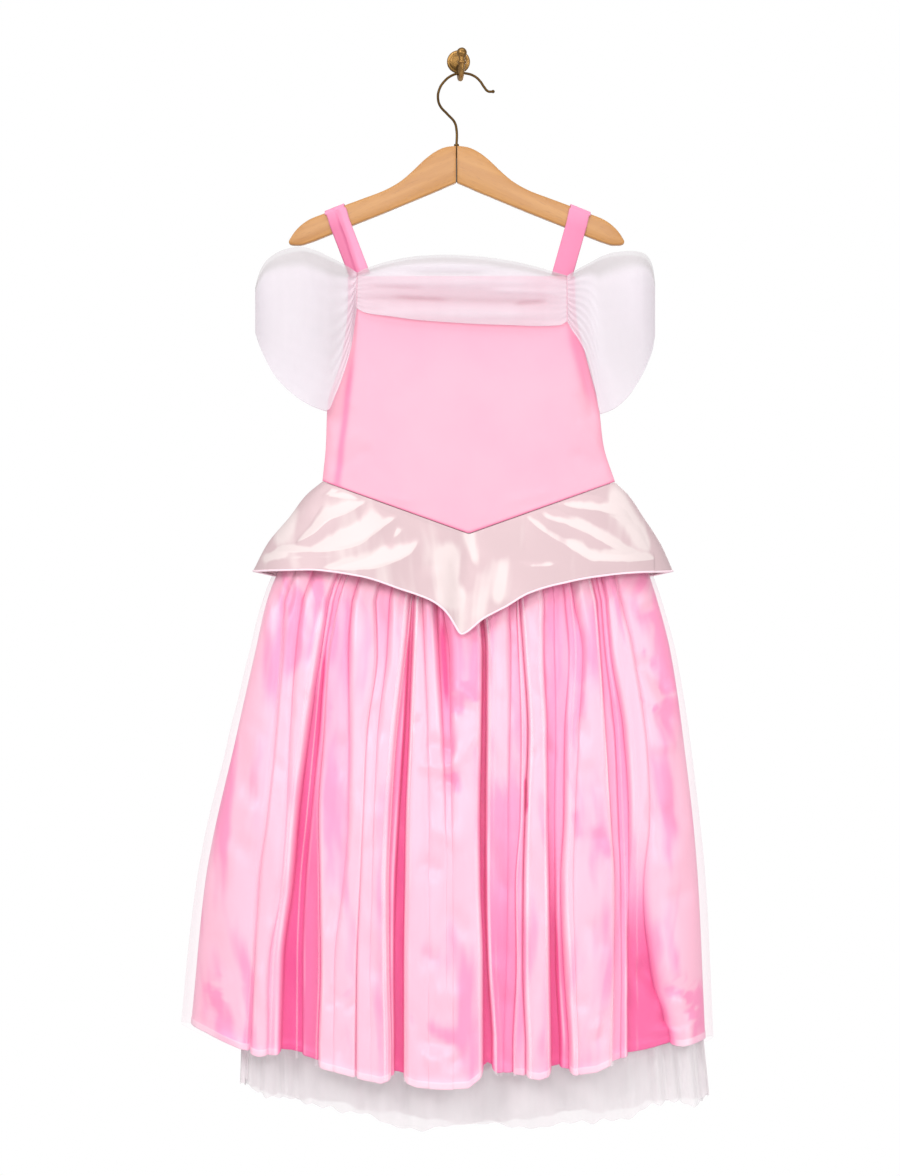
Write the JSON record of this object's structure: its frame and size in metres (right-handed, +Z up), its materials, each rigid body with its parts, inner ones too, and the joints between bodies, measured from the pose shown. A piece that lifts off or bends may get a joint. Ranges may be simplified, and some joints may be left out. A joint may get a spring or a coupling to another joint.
{
  "type": "princess costume dress on hanger with wall hook",
  "caption": "Child's long pink party gown with a pointed waist, peplum, puffed net sleeves and a gathered skirt, hung flat on a wooden hanger from a brass wall hook.",
  "frame": {"origin": "centre of the wall hook's round plate, on the back face that lies against the wall", "axes": "+Y points into the wall, +Z up, +X to the right of someone facing the dress; the dress's front faces -Y"},
  "size_m": [0.532, 0.1193, 1.0853],
  "materials": {
    "satin": "glossy pink satin",
    "pink_net": "sheer pink net",
    "velour": "soft matte pink velour",
    "lame": "pale pearly lame",
    "tulle": "sheer white net",
    "ribbon": "pink satin ribbon",
    "wood": "clear-varnished beech",
    "brass": "polished, slightly aged"
  },
  "bodies": {
    "root": {"wall_plate": "brass", "wall_arm": "brass", "hanger_wire": "brass", "hanger_arm_left": "wood", "hanger_arm_right": "wood", "strap_left": "ribbon", "strap_right": "ribbon", "bodice_front": "velour", "bodice_back": "velour", "neck_band_front": "tulle", "neck_band_back": "tulle", "sleeve_left": "tulle", "sleeve_right": "tulle", "peplum_front": "lame", "peplum_back": "lame", "skirt_front": "satin", "skirt_back": "satin", "overskirt_front": "pink_net", "overskirt_back": "pink_net", "petticoat_front": "tulle", "petticoat_back": "tulle"}
  },
  "joints": []
}
